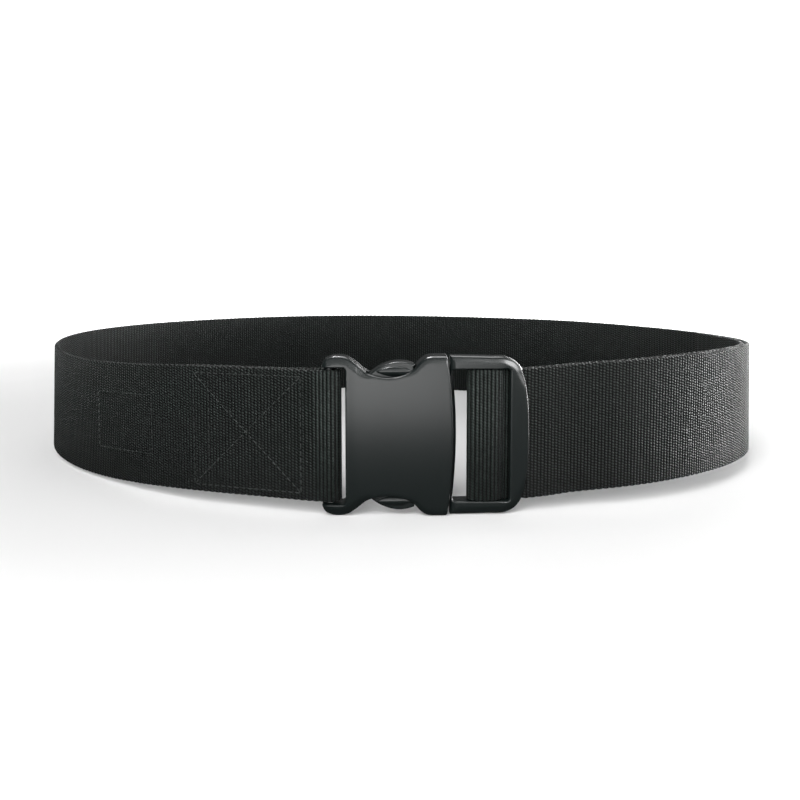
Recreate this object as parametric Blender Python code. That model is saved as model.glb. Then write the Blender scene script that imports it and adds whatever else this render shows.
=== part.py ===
"""A duty belt: one strip of 2 inch web on a side-release buckle, standing on its edge as a closed loop.

Metres, +Z up. The buckle faces -Y and the belt stands on the plane Z = 0.
"""

import math

import bmesh
import bpy
import numpy as np
from mathutils import Matrix

# Web
WEB_WIDTH = 0.0508
WEB_THICK = 0.0022
WEB_EDGE_CHAMFER = 0.0005
LAYER_GAP = 0.0004
LAYER_STEP = WEB_THICK + LAYER_GAP
WEB_TO_BAR = 0.00035
STATION_SPACING = 0.009
FOLD_LENGTH = 0.058
FOLD_CLOSING = 0.016
FOLD_ANGLE = math.radians(10)
TAIL_LENGTH = 0.209
WRAP_STEPS = 10
WRAP_SPACING = 0.0016
LOWEST_LIFT = 0.0

# The loop from the socket round the back to the plug, seen from above: the middle of the web.
# Lift is the lower edge's height. Lean tips the upper edge outwards, in degrees.
# x, y, lift, lean
LOOP = [
    (-0.0450, 0.0068, 0.0054, 0.0),
    (-0.0620, 0.0126, 0.0052, 0.0),
    (-0.0850, 0.0222, 0.0046, 0.0),
    (-0.1120, 0.0398, 0.0028, 0.0),
    (-0.1390, 0.0640, 0.0012, -0.5),
    (-0.1610, 0.0915, 0.0014, -1.5),
    (-0.1755, 0.1270, 0.0019, -2.5),
    (-0.1785, 0.1660, 0.0018, -2.5),
    (-0.1675, 0.2095, 0.0011, -1.5),
    (-0.1435, 0.2480, 0.0003, -0.5),
    (-0.1050, 0.2770, 0.0000, 0.0),
    (-0.0550, 0.2935, 0.0000, 0.0),
    (0.0000, 0.2940, 0.0000, 0.0),
    (0.0540, 0.2815, 0.0000, 0.0),
    (0.1020, 0.2565, 0.0004, 0.0),
    (0.1400, 0.2150, 0.0012, -1.0),
    (0.1620, 0.1680, 0.0026, -2.0),
    (0.1695, 0.1240, 0.0043, -2.5),
    (0.1645, 0.0890, 0.0060, -1.5),
    (0.1500, 0.0595, 0.0074, 0.0),
    (0.1280, 0.0365, 0.0080, 0.0),
    (0.1040, 0.0222, 0.0076, 0.0),
    (0.0800, 0.0148, 0.0068, 0.0),
    (0.0620, 0.0108, 0.0060, 0.0),
]

# Buckle: its own frame has x along the belt and its middle at the origin
BUCKLE_Y = 0.0059
BUCKLE_YAW = math.radians(1.2)
BUCKLE_HALF_HEIGHT = 0.0308
WEB_SLOT_HALF = WEB_WIDTH / 2 + 0.0004
WEB_LIFT_IN_BUCKLE = BUCKLE_HALF_HEIGHT - WEB_WIDTH / 2

# Socket: the outline and thickness along x, mirrored top to bottom
# x, half_height, half_thick, edge_radius
SOCKET_ROWS = [
    (-0.0298, 0.0266, 0.0056, 0.0008),
    (-0.0286, 0.0286, 0.0058, 0.0014),
    (-0.0266, 0.0299, 0.0059, 0.0016),
    (-0.0229, 0.0306, 0.0060, 0.0018),
    (-0.0200, 0.0302, 0.0063, 0.0018),
    (-0.0165, 0.0281, 0.0068, 0.0016),
    (-0.0126, 0.0248, 0.0071, 0.0010),
    (-0.0080, 0.0232, 0.0072, 0.0008),
    (-0.0030, 0.0228, 0.0072, 0.0008),
    (0.0020, 0.0239, 0.0072, 0.0008),
    (0.0059, 0.0263, 0.0072, 0.0009),
    (0.0080, 0.0287, 0.0072, 0.0014),
    (0.0103, 0.0303, 0.0072, 0.0018),
    (0.0125, 0.0308, 0.0072, 0.0018),
    (0.0178, 0.0308, 0.0072, 0.0018),
]
SOCKET_SPACING = 0.0022
SOCKET_CROWN = 0.0010
SOCKET_END_BULGE = 0.0022
SOCKET_BULGE_START = 0.0080
FACE_STEPS = 6
CORNER_STEPS = 3
SOCKET_BAR_X = -0.0267
SOCKET_BAR_RADIUS = 0.0022
SOCKET_BAR_SIDES = 8
SOCKET_BODY_LEFT = -0.0204
CAVITY_HALF_THICK = 0.0044
CAVITY_HALF_HEIGHT = 0.0256
CAVITY_END_HALF_HEIGHT = 0.0200
CAVITY_LEFT = -0.0175
WINDOW_LEFT = -0.0126
WINDOW_RIGHT = 0.0063

# Plug: the frame's outline from the middle of its outer edge up to the socket, mirrored top to bottom
# x, z
PLUG_OUTLINE = [
    (0.0501, 0.0030),
    (0.0498, 0.0110),
    (0.0490, 0.0180),
    (0.0478, 0.0233),
    (0.0464, 0.0264),
    (0.0443, 0.0286),
    (0.0412, 0.0299),
    (0.0340, 0.0301),
    (0.0189, 0.0305),
]
# y, inset
PLUG_RINGS = [
    (-0.0040, 0.0015),
    (-0.0037, 0.0007),
    (-0.0029, 0.0),
    (0.0029, 0.0),
    (0.0037, 0.0007),
    (0.0040, 0.0015),
]
PLUG_SLOT_LEFT = 0.0212
OUTER_BAR_LEFT = 0.0423
OUTER_BAR_BACK = -0.0012
CENTRE_BAR_ENDS = (0.0303, 0.0356)
CENTRE_BAR_RADIUS = 0.0018
CENTRE_BAR_SIDES = 7
CROSSBAR_ENDS = (0.0146, 0.0205)
CROSSBAR_HALF_HEIGHT = 0.0250
CROSSBAR_HALF_THICK = 0.0039
GUIDE_OUTLINE = [
    (0.0160, -0.0032),
    (0.0160, 0.0032),
    (-0.0120, 0.0026),
    (-0.0150, 0.0014),
    (-0.0150, -0.0014),
    (-0.0120, -0.0026),
]
GUIDE_HALF_THICK = 0.0022
PRONG_HALF_THICK = 0.0037
# A side prong: the button's bulge, its shoulder, and the arm to the crossbar. x, z
PRONG_OUTLINE = [
    (-0.0122, 0.0214),
    (-0.0112, 0.0236),
    (-0.0085, 0.0259),
    (-0.0050, 0.0276),
    (-0.0013, 0.0285),
    (0.0025, 0.0284),
    (0.0058, 0.0275),
    (0.0058, 0.0248),
    (0.0100, 0.0236),
    (0.0155, 0.0226),
    (0.0155, 0.0190),
    (0.0090, 0.0199),
    (0.0020, 0.0207),
    (-0.0060, 0.0208),
    (-0.0112, 0.0204),
]

# The strip's route through the plug, in the buckle's frame
OUTER_BAR_ROUTE_X = 0.0495
OUTER_BAR_INNER_X = 0.0428
CLIMB_ANGLE = 30
STRIP_BEHIND_BAR_Y = OUTER_BAR_BACK + WEB_TO_BAR + WEB_THICK / 2

WEB_COLOUR = (0.016, 0.018, 0.017, 1.0)
BUCKLE_COLOUR = (0.020, 0.022, 0.023, 1.0)
WEB_ROUGHNESS = 0.85
BUCKLE_ROUGHNESS = 0.35
SHARP_ANGLE = math.radians(35)

# How far joined shapes run into each other, and a reach past every face for the cuts
JOIN_OVERLAP = 0.001
FAR = 0.08


def smooth_slopes(rows, knots, start_slope, end_slope):
    """Slopes at the rows of the cubic spline through them, with the two end slopes given."""
    step = np.diff(knots)
    rise = np.diff(rows, axis=0) / step[:, None]
    matrix = np.eye(len(rows))
    right = np.zeros_like(rows)
    right[0] = start_slope
    right[-1] = end_slope
    for i in range(1, len(rows) - 1):
        matrix[i, i - 1 : i + 2] = step[i], 2 * (step[i - 1] + step[i]), step[i - 1]
        right[i] = 3 * (step[i] * rise[i - 1] + step[i - 1] * rise[i])
    return np.linalg.solve(matrix, right)


def on_curve(rows, spacing, knots, slopes):
    """Rows about `spacing` apart on the curve that has these slopes at its given rows."""
    count = max(2, round((knots[-1] - knots[0]) / spacing))
    at = np.linspace(knots[0], knots[-1], count + 1)
    left = np.clip(np.searchsorted(knots, at, side="right") - 1, 0, len(rows) - 2)
    step = (knots[left + 1] - knots[left])[:, None]
    u = (at[:, None] - knots[left][:, None]) / step
    return (
        (2 * u**3 - 3 * u**2 + 1) * rows[left]
        + (u**3 - 2 * u**2 + u) * step * slopes[left]
        + (3 * u**2 - 2 * u**3) * rows[left + 1]
        + (u**3 - u**2) * step * slopes[left + 1]
    )


def run_lengths(points):
    """Distance along the polyline at each point, from its x and y."""
    steps = np.hypot(*np.diff(points[:, :2], axis=0).T)
    return np.concatenate([[0.0], np.cumsum(steps)])


def left_normals(points):
    """Unit vectors to the left of the direction of travel, seen from above."""
    along = np.gradient(points[:, :2], run_lengths(points), axis=0)
    along /= np.linalg.norm(along, axis=1)[:, None]
    return np.stack([-along[:, 1], along[:, 0]], axis=1)


def from_buckle(x, y):
    """A point of the buckle's frame, seen from above, in the belt's frame."""
    cosine, sine = math.cos(BUCKLE_YAW), math.sin(BUCKLE_YAW)
    return x * cosine - y * sine, BUCKLE_Y + x * sine + y * cosine


def arc(centre, radius, start, end, steps):
    """Points on a circle in the buckle's frame. Angles are in degrees, from +x towards +y."""
    angles = np.radians(np.linspace(start, end, steps + 1))
    return [(centre[0] + radius * math.cos(a), centre[1] + radius * math.sin(a)) for a in angles]


def level_rows(points):
    """Stations for points of the buckle's frame, where the web stands straight at the buckle's height."""
    return np.array([(*from_buckle(x, y), WEB_LIFT_IN_BUCKLE, 0.0) for x, y in points])


def fold_arc():
    """The strip round the socket's hidden bar, from its inner side to its outer side."""
    radius = SOCKET_BAR_RADIUS + WEB_TO_BAR + WEB_THICK / 2
    tilt = math.degrees(FOLD_ANGLE)
    return arc((SOCKET_BAR_X, 0.0), radius, 90 - tilt, -90 - tilt, WRAP_STEPS)


def plug_route():
    """The strip through the plug: behind the outer bar, over the centre bar and back behind both."""
    radius = CENTRE_BAR_RADIUS + WEB_TO_BAR + WEB_THICK / 2
    left, right = CENTRE_BAR_ENDS
    rise = arc((right, 0.0), radius, CLIMB_ANGLE - 90, -90, 2)
    across = np.array([(OUTER_BAR_INNER_X, STRIP_BEHIND_BAR_Y), rise[0]])
    slope = math.radians(CLIMB_ANGLE)
    slopes = np.array([(-1.0, 0.0), (-math.cos(slope), -math.sin(slope))])
    climb = on_curve(across, WRAP_SPACING, run_lengths(across), slopes)
    round_bar = arc((left, 0.0), radius, -90, -270, WRAP_STEPS)
    back_y = STRIP_BEHIND_BAR_Y + LAYER_STEP
    return [*map(tuple, climb), *rise[1:], *round_bar, (right, radius), (OUTER_BAR_INNER_X, back_y)]


def outer_layer(first, last):
    """The loop's outer layer, from the end of the socket's fold to the back of the plug's outer bar."""
    rows = np.array([first, *LOOP, last])
    knots = run_lengths(rows)
    heading = BUCKLE_YAW - FOLD_ANGLE
    leave = (-math.cos(heading), -math.sin(heading), 0.0, 0.0)
    arrive = (-math.cos(BUCKLE_YAW), -math.sin(BUCKLE_YAW), 0.0, 0.0)
    layer = on_curve(rows, STATION_SPACING, knots, smooth_slopes(rows, knots, leave, arrive))
    layer[:, 2] = np.maximum(layer[:, 2], LOWEST_LIFT)
    return layer


def turned_round(layer):
    """The same stations met from the other end, so that what leaned left leans right."""
    return layer[::-1] * np.array([1.0, 1.0, 1.0, -1.0])


def inner_layer(outer, side, length, first_step=LAYER_STEP):
    """The layer inside the first `length` of the outer one. Side is 1 where inside is left, -1 where right."""
    at = run_lengths(outer)
    near = np.clip(1 - at / FOLD_CLOSING, 0.0, 1.0)
    steps = LAYER_STEP + (first_step - LAYER_STEP) * near**2 * (3 - 2 * near)
    layer = outer.copy()
    layer[:, :2] += side * left_normals(outer) * steps[:, None]
    return layer[: int(np.searchsorted(at, length)) + 1]


def strip_stations():
    """The whole strip from the sewn end to the free tail: x, y, lift and lean to the left."""
    fold = level_rows(fold_arc())
    plug = level_rows(plug_route())
    behind_bar = level_rows([(OUTER_BAR_ROUTE_X, STRIP_BEHIND_BAR_Y)])[0]
    outer = outer_layer(fold[-1], behind_bar)
    fold_step = float(np.hypot(*(fold[0] - fold[-1])[:2]))
    sewn = turned_round(inner_layer(outer, -1, FOLD_LENGTH, fold_step))
    tail = inner_layer(turned_round(outer), 1, TAIL_LENGTH)
    return np.concatenate([sewn[:-1], fold[:-1], outer, plug, tail])


def material(name, colour, roughness):
    made = bpy.data.materials.new(name)
    made.use_nodes = True
    shader = made.node_tree.nodes["Principled BSDF"]
    shader.inputs["Base Color"].default_value = colour
    shader.inputs["Roughness"].default_value = roughness
    shader.inputs["Metallic"].default_value = 0.0
    return made


def put_in_scene(bm, name, parent, finish=None):
    """A named object from a bmesh, with outward normals and smooth shading over shallow angles."""
    bmesh.ops.recalc_face_normals(bm, faces=bm.faces)
    mesh = bpy.data.meshes.new(name)
    bm.to_mesh(mesh)
    bm.free()
    mesh.shade_smooth()
    mesh.set_sharp_from_angle(angle=SHARP_ANGLE)
    made = bpy.data.objects.new(name, mesh)
    bpy.context.scene.collection.objects.link(made)
    made.parent = parent
    if finish is None:
        made.hide_render = True
        made.display_type = "WIRE"
    else:
        mesh.materials.append(finish)
    return made


def loft(rings, cap_pairs):
    """A bmesh through rings of points, closed at both ends by quads between the paired points."""
    bm = bmesh.new()
    made = [[bm.verts.new(point) for point in ring] for ring in rings]
    count = len(rings[0])
    for near, far in zip(made, made[1:]):
        for i in range(count):
            j = (i + 1) % count
            bm.faces.new((near[i], near[j], far[j], far[i]))
    for ring in (made[0], made[-1]):
        for (a, b), (c, d) in zip(cap_pairs, cap_pairs[1:]):
            bm.faces.new((ring[a], ring[c], ring[d], ring[b]))
    return bm


def mirrored_pairs(count):
    """Index pairs across a ring whose second half mirrors its first."""
    return [(i, count - 1 - i) for i in range(count // 2)]


def prism(outline, low, high):
    """A bmesh: an x, z outline extruded through y."""
    bm = bmesh.new()
    face = bm.faces.new([bm.verts.new((x, low, z)) for x, z in outline])
    moved = bmesh.ops.extrude_face_region(bm, geom=[face])["geom"]
    corners = [item for item in moved if isinstance(item, bmesh.types.BMVert)]
    bmesh.ops.translate(bm, vec=(0.0, high - low, 0.0), verts=corners)
    return bm


def block(x_ends, y_ends, z_ends):
    """A bmesh box between the given ends."""
    corners = [(x_ends[0], z_ends[0]), (x_ends[1], z_ends[0]), (x_ends[1], z_ends[1]), (x_ends[0], z_ends[1])]
    return prism(corners, *y_ends)


def upright_bar(ends, radius, half_height, sides):
    """A bmesh bar along z: round, or with a flat middle where its two end centres differ in x."""
    outline = [(ends[1] + radius * math.sin(a), -radius * math.cos(a)) for a in np.linspace(0, math.pi, sides)]
    outline += [(ends[0] - radius * math.sin(a), radius * math.cos(a)) for a in np.linspace(0, math.pi, sides)]
    bm = bmesh.new()
    points = dict.fromkeys((round(x, 7), round(y, 7), -half_height) for x, y in outline)
    face = bm.faces.new([bm.verts.new(point) for point in points])
    moved = bmesh.ops.extrude_face_region(bm, geom=[face])["geom"]
    corners = [item for item in moved if isinstance(item, bmesh.types.BMVert)]
    bmesh.ops.translate(bm, vec=(0.0, 0.0, 2 * half_height), verts=corners)
    return bm


def combine(target, operation, bm, label):
    """A Boolean on the target with a hidden helper made from the bmesh."""
    helper = put_in_scene(bm, f"{target.name}_{label}", target.parent)
    modifier = target.modifiers.new(label, "BOOLEAN")
    modifier.operation = operation
    modifier.solver = "EXACT"
    modifier.object = helper


def web_section(station, normal):
    """The web's cross-section at one station: a thin upright rectangle with chamfered edges."""
    x, y, lift, lean = station
    half, bevel = WEB_THICK / 2, WEB_EDGE_CHAMFER
    side = [(-half, bevel), (-half, WEB_WIDTH - bevel), (-half + bevel, WEB_WIDTH)]
    side = [(-half + bevel, 0.0), *side]
    profile = side + [(-across, up) for across, up in reversed(side)]
    tilt = math.radians(lean)
    ring = []
    for across, up in profile:
        out = across + (up - WEB_WIDTH / 2) * math.sin(tilt)
        ring.append((x + normal[0] * out, y + normal[1] * out, lift + up * math.cos(tilt)))
    return ring


def add_web_strap(parent):
    stations = strip_stations()
    normals = left_normals(stations)
    rings = [web_section(station, normal) for station, normal in zip(stations, normals)]
    bm = loft(rings, mirrored_pairs(len(rings[0])))
    return put_in_scene(bm, "web_strap", parent, material("black_web", WEB_COLOUR, WEB_ROUGHNESS))


def socket_section(x, half_height, half_thick, radius):
    """The socket's cross-section at x: crowned faces, rounded edges and a bulged end."""
    top = half_height - radius
    corner_y = half_thick - SOCKET_CROWN - radius
    front = [(half_thick - SOCKET_CROWN * (z / top) ** 2, z) for z in np.linspace(-top, top, FACE_STEPS + 1)]
    turn = [math.pi / 2 * i / CORNER_STEPS for i in range(1, CORNER_STEPS + 1)]
    corner = [(corner_y + radius * math.cos(a), top + radius * math.sin(a)) for a in turn]
    half = [(y, -z) for y, z in reversed(corner)] + front + corner
    near_end = max(0.0, (x - SOCKET_BULGE_START) / (SOCKET_ROWS[-1][0] - SOCKET_BULGE_START))
    ring = []
    for y, z in [(-y, z) for y, z in half] + list(reversed(half)):
        bulge = SOCKET_END_BULGE * near_end**2 * (1 - (z / BUCKLE_HALF_HEIGHT) ** 2)
        ring.append((x + bulge, y, z))
    return ring


def add_buckle_socket(parent):
    rows = np.array(SOCKET_ROWS)
    slopes = np.gradient(rows, rows[:, 0], axis=0)
    sections = on_curve(rows, SOCKET_SPACING, rows[:, 0], slopes)
    sections[:, 1] = np.minimum(sections[:, 1], BUCKLE_HALF_HEIGHT)
    rings = [socket_section(*row) for row in sections]
    bm = loft(rings, mirrored_pairs(len(rings[0])))
    finish = material("black_socket_plastic", BUCKLE_COLOUR, BUCKLE_ROUGHNESS)
    socket = put_in_scene(bm, "buckle_socket", parent, finish)
    inside = (-CAVITY_HALF_THICK, CAVITY_HALF_THICK)
    full, end = CAVITY_HALF_HEIGHT, CAVITY_END_HALF_HEIGHT
    combine(socket, "DIFFERENCE", block((WINDOW_LEFT, FAR), inside, (-full, full)), "cavity")
    cavity_end = block((CAVITY_LEFT, WINDOW_LEFT + JOIN_OVERLAP), inside, (-end, end))
    combine(socket, "DIFFERENCE", cavity_end, "cavity_end")
    combine(socket, "DIFFERENCE", block((WINDOW_LEFT, WINDOW_RIGHT), inside, (-FAR, FAR)), "windows")
    slot = block((-FAR, SOCKET_BODY_LEFT), (-FAR, FAR), (-WEB_SLOT_HALF, WEB_SLOT_HALF))
    combine(socket, "DIFFERENCE", slot, "web_slot")
    bar_half = WEB_SLOT_HALF + JOIN_OVERLAP
    bar = upright_bar((SOCKET_BAR_X, SOCKET_BAR_X), SOCKET_BAR_RADIUS, bar_half, SOCKET_BAR_SIDES)
    combine(socket, "UNION", bar, "bar")
    return socket


def inset_outline(outline, inset):
    """The closed outline moved inwards, with mitred corners. It runs anticlockwise."""
    points = np.array(outline)
    before = points - np.roll(points, 1, axis=0)
    after = np.roll(points, -1, axis=0) - points
    before /= np.linalg.norm(before, axis=1)[:, None]
    after /= np.linalg.norm(after, axis=1)[:, None]
    inwards = np.stack([-(before + after)[:, 1], (before + after)[:, 0]], axis=1)
    inwards /= np.linalg.norm(inwards, axis=1)[:, None]
    mitre = (inwards * np.stack([-after[:, 1], after[:, 0]], axis=1)).sum(axis=1)
    return points + inwards * (inset / mitre)[:, None]


def add_buckle_plug(parent):
    outline = [(x, -z) for x, z in reversed(PLUG_OUTLINE)] + PLUG_OUTLINE
    rings = []
    for y, inset in PLUG_RINGS:
        rings.append([(x, y, z) for x, z in inset_outline(outline, inset)])
    bm = loft(rings, mirrored_pairs(len(outline)))
    finish = material("black_plug_plastic", BUCKLE_COLOUR, BUCKLE_ROUGHNESS)
    plug = put_in_scene(bm, "buckle_plug", parent, finish)
    slot = (-WEB_SLOT_HALF, WEB_SLOT_HALF)
    combine(plug, "DIFFERENCE", block((PLUG_SLOT_LEFT, OUTER_BAR_LEFT), (-FAR, FAR), slot), "window")
    web_pass = block((OUTER_BAR_LEFT - JOIN_OVERLAP, FAR), (OUTER_BAR_BACK, FAR), slot)
    combine(plug, "DIFFERENCE", web_pass, "web_pass")
    bar = upright_bar(CENTRE_BAR_ENDS, CENTRE_BAR_RADIUS, WEB_SLOT_HALF + JOIN_OVERLAP, CENTRE_BAR_SIDES)
    combine(plug, "UNION", bar, "centre_bar")
    crossbar_y = (-CROSSBAR_HALF_THICK, CROSSBAR_HALF_THICK)
    height = (-CROSSBAR_HALF_HEIGHT, CROSSBAR_HALF_HEIGHT)
    combine(plug, "UNION", block(CROSSBAR_ENDS, crossbar_y, height), "crossbar")
    prong_y = (-PRONG_HALF_THICK, PRONG_HALF_THICK)
    combine(plug, "UNION", prism(PRONG_OUTLINE, *prong_y), "upper_prong")
    combine(plug, "UNION", prism([(x, -z) for x, z in PRONG_OUTLINE], *prong_y), "lower_prong")
    combine(plug, "UNION", prism(GUIDE_OUTLINE, -GUIDE_HALF_THICK, GUIDE_HALF_THICK), "guide")
    return plug


def empty(name, parent=None):
    made = bpy.data.objects.new(name, None)
    bpy.context.scene.collection.objects.link(made)
    made.parent = parent
    return made


def stand_on_origin(frame, parts):
    """Moves the frame so that the origin is the middle of the belt's footprint, on its lowest point."""
    bpy.context.view_layer.update()
    corners = np.array([part.matrix_world @ v.co for part in parts for v in part.data.vertices])
    low, high = corners.min(axis=0), corners.max(axis=0)
    frame.location = (-(low[0] + high[0]) / 2, -(low[1] + high[1]) / 2, -low[2])


def main():
    for old in list(bpy.data.objects):
        bpy.data.objects.remove(old, do_unlink=True)
    belt_frame = empty("belt_frame")
    buckle_frame = empty("buckle_frame", belt_frame)
    buckle_frame.location = (0.0, BUCKLE_Y, BUCKLE_HALF_HEIGHT)
    buckle_frame.rotation_euler = Matrix.Rotation(BUCKLE_YAW, 3, "Z").to_euler()
    strap = add_web_strap(belt_frame)
    socket = add_buckle_socket(buckle_frame)
    plug = add_buckle_plug(buckle_frame)
    stand_on_origin(belt_frame, (strap, socket, plug))


main()
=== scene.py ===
"""The looks of a duty belt: ribbed and beaded web, box stitching, and a moulded side-release buckle."""

import math

import bmesh
import bpy
import numpy as np
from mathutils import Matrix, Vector


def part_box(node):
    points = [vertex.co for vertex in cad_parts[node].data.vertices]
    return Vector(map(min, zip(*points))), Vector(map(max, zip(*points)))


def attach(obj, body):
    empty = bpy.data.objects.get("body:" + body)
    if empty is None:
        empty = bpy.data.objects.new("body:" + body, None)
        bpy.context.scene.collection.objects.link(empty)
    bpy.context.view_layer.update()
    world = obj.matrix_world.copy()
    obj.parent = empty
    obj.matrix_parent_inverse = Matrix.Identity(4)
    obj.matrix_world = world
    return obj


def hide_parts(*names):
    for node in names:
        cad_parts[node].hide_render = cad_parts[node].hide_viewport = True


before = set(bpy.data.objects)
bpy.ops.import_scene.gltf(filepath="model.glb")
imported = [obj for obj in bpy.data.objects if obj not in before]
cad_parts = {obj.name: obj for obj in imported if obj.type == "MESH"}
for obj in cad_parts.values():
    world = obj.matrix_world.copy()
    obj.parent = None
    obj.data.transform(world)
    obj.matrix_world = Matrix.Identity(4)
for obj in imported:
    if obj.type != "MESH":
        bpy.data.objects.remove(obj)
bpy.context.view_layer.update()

MM = 0.001
SCENE = bpy.context.scene

# Web
WEB_WIDTH = 0.0508
WEB_THICK = 0.0022
WEB_EDGE = 0.0005
LAYER_STEP = WEB_THICK + 0.0004
WEB_TO_BAR = 0.00035
STATION_SPACING = 0.009
FOLD_LENGTH = 0.058
FOLD_CLOSING = 0.016
FOLD_WRAP = 0.0115
FOLD_ANGLE = math.radians(10)
TAIL_LENGTH = 0.209
WRAP_STEPS = 10
CLIMB_SPACING = 0.0008
LOWEST_LIFT = 0.0

# The loop from the socket round the back to the plug, seen from above: the middle of the web
# x, y, lift, lean
LOOP = [
    (-0.0450, 0.0068, 0.0054, 0.0),
    (-0.0620, 0.0126, 0.0052, 0.0),
    (-0.0850, 0.0222, 0.0046, 0.0),
    (-0.1120, 0.0398, 0.0028, 0.0),
    (-0.1390, 0.0640, 0.0012, -0.5),
    (-0.1610, 0.0915, 0.0014, -1.5),
    (-0.1755, 0.1270, 0.0019, -2.5),
    (-0.1785, 0.1660, 0.0018, -2.5),
    (-0.1675, 0.2095, 0.0011, -1.5),
    (-0.1435, 0.2480, 0.0003, -0.5),
    (-0.1050, 0.2770, 0.0000, 0.0),
    (-0.0550, 0.2935, 0.0000, 0.0),
    (0.0000, 0.2940, 0.0000, 0.0),
    (0.0540, 0.2815, 0.0000, 0.0),
    (0.1020, 0.2565, 0.0004, 0.0),
    (0.1400, 0.2150, 0.0012, -1.0),
    (0.1620, 0.1680, 0.0026, -2.0),
    (0.1695, 0.1240, 0.0043, -2.5),
    (0.1645, 0.0890, 0.0060, -1.5),
    (0.1500, 0.0595, 0.0074, 0.0),
    (0.1280, 0.0365, 0.0080, 0.0),
    (0.1040, 0.0222, 0.0076, 0.0),
    (0.0800, 0.0148, 0.0068, 0.0),
    (0.0620, 0.0108, 0.0060, 0.0),
]

# The buckle stands in the belt's front: its own frame has x along the belt
BUCKLE_Y = 0.0059
BUCKLE_YAW = math.radians(1.2)
BUCKLE_HALF_HEIGHT = 0.0308
WEB_LIFT_IN_BUCKLE = BUCKLE_HALF_HEIGHT - WEB_WIDTH / 2
SOCKET_BAR_X = -0.0267
SOCKET_BAR_RADIUS = 0.0022
CENTRE_BAR_ENDS = (0.0303, 0.0356)
CENTRE_BAR_RADIUS = 0.0018
OUTER_BAR_BACK = -0.0012
OUTER_BAR_ROUTE_X = 0.0495
OUTER_BAR_INNER_X = 0.0428
CLIMB_ANGLE = 68
STRIP_BEHIND_BAR_Y = OUTER_BAR_BACK + WEB_TO_BAR + WEB_THICK / 2

# Weave: ribs run across the web, and beads run along each rib
RIB_PITCH = 0.00142
RIB_SAMPLES = 6
RIB_DEPTH = 0.0002
BEND_RIB_DEPTH = 0.0003
BEAD_PITCH = 0.00112
BEAD_SLANT = 0.56
BEAD_SLANT_LOSS = 0.000095
BEAD_ALTERNATION = 0.14
SELVEDGE_BUMP = 0.00022

# Bends per metre: where the web starts to count as wrapped round a bar, and where it counts wholly
WRAP_BENDS = (30.0, 150.0)

# Stitched lines on the web's outer side: distance along the strip and height up it, in mm
BOX_ENDS = (84.0, 131.0)
BOX_HEIGHTS = (3.0, 48.0)
BOX_SECOND_ROW = 124.0
PATCH_ENDS = (154.0, 191.5)
PATCH_HEIGHTS = (13.5, 38.0)
STITCH_LENGTH = 2.3
STITCH_GAP = 0.55
STITCH_RADIUS = 0.24

# The photograph's camera, in the belt's frame
CAMERA_PLACE = (0.0004, -0.3466, 0.1082)
CAMERA_PITCH = math.radians(5.0)
CAMERA_LENS = 41.85
CAMERA_SENSOR = 36.0
CAMERA_SHIFT_Y = -0.108

# Stage: a flat floor in rings, and the curve and the wall beyond it
STAGE_RINGS = (0.02, 0.3, 0.6)
STAGE_RADIUS = 4.0
STAGE_CURVE = 1.0
STAGE_HEIGHT = 4.0
STAGE_SIDES = 64
STAGE_DROP = 0.00005
# The floor starts to glow at the first distance from its middle, and glows fully from the second
GLOW_FROM = 0.2
GLOW_TO = 0.9

# What a light gives: both kinds of light, only gloss, or only even light
BOTH, GLOSS, EVEN = "both", "gloss", "even"
MIDDLE = (0.0, 0.06, 0.03)
WORLD_LIGHT = 0.08
# Places are measured from the belt's front
# name, place, aim, size, radiance, gives
LIGHTS = [
    ("front_card", (-0.08, -0.52, 0.055), (-0.08, 0.0, 0.055), (0.36, 0.20), 4.1, BOTH),
    ("upper_card", (-0.05, -0.5, 0.36), MIDDLE, (0.7, 0.3), 1.1, GLOSS),
    ("key", (-0.25, -0.75, 0.65), MIDDLE, (0.5, 1.1), 9.0, EVEN),
    ("overhead_strip", (0.0, 0.35, 1.0), (0.0, 0.35, 0.0), (0.6, 0.9), 5.0, GLOSS),
    ("back_light", (0.75, 1.05, 0.55), (-0.15, 0.2, 0.03), (0.8, 0.3), 14.0, GLOSS),
    ("top_light", (-0.22, 0.35, 1.1), MIDDLE, (0.22, 0.22), 54.0, GLOSS),
    ("corner_light", (0.78, 0.28, 0.55), MIDDLE, (0.5, 0.9), 4.0, GLOSS),
    ("right_card", (0.45, -0.47, 0.31), (0.03, 0.0, 0.05), (0.5, 0.36), 17.0, GLOSS),
    ("edge_light", (0.9, 0.06, 0.1), (0.05, 0.0, 0.03), (0.14, 0.5), 9.0, GLOSS),
    ("right_light", (0.93, 0.40, 0.03), (0.17, 0.08, 0.03), (0.4, 0.26), 60.0, BOTH),
    ("right_back", (0.62, 0.90, 0.03), (0.17, 0.12, 0.03), (0.4, 0.26), 30.0, BOTH),
    ("left_light", (-0.80, 0.70, 0.0), (-0.17, 0.11, 0.0), (0.4, 0.12), 15.0, BOTH),
    ("back_fill", (0.0, 1.35, 0.4), (0.0, 0.29, 0.03), (1.0, 0.5), 5.0, EVEN),
]


def smooth_slopes(rows, knots, start_slope, end_slope):
    """Slopes at the rows of the cubic spline through them, with the two end slopes given."""
    step = np.diff(knots)
    rise = np.diff(rows, axis=0) / step[:, None]
    matrix = np.eye(len(rows))
    right = np.zeros_like(rows)
    right[0] = start_slope
    right[-1] = end_slope
    for i in range(1, len(rows) - 1):
        matrix[i, i - 1 : i + 2] = step[i], 2 * (step[i - 1] + step[i]), step[i - 1]
        right[i] = 3 * (step[i] * rise[i - 1] + step[i - 1] * rise[i])
    return np.linalg.solve(matrix, right)


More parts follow.
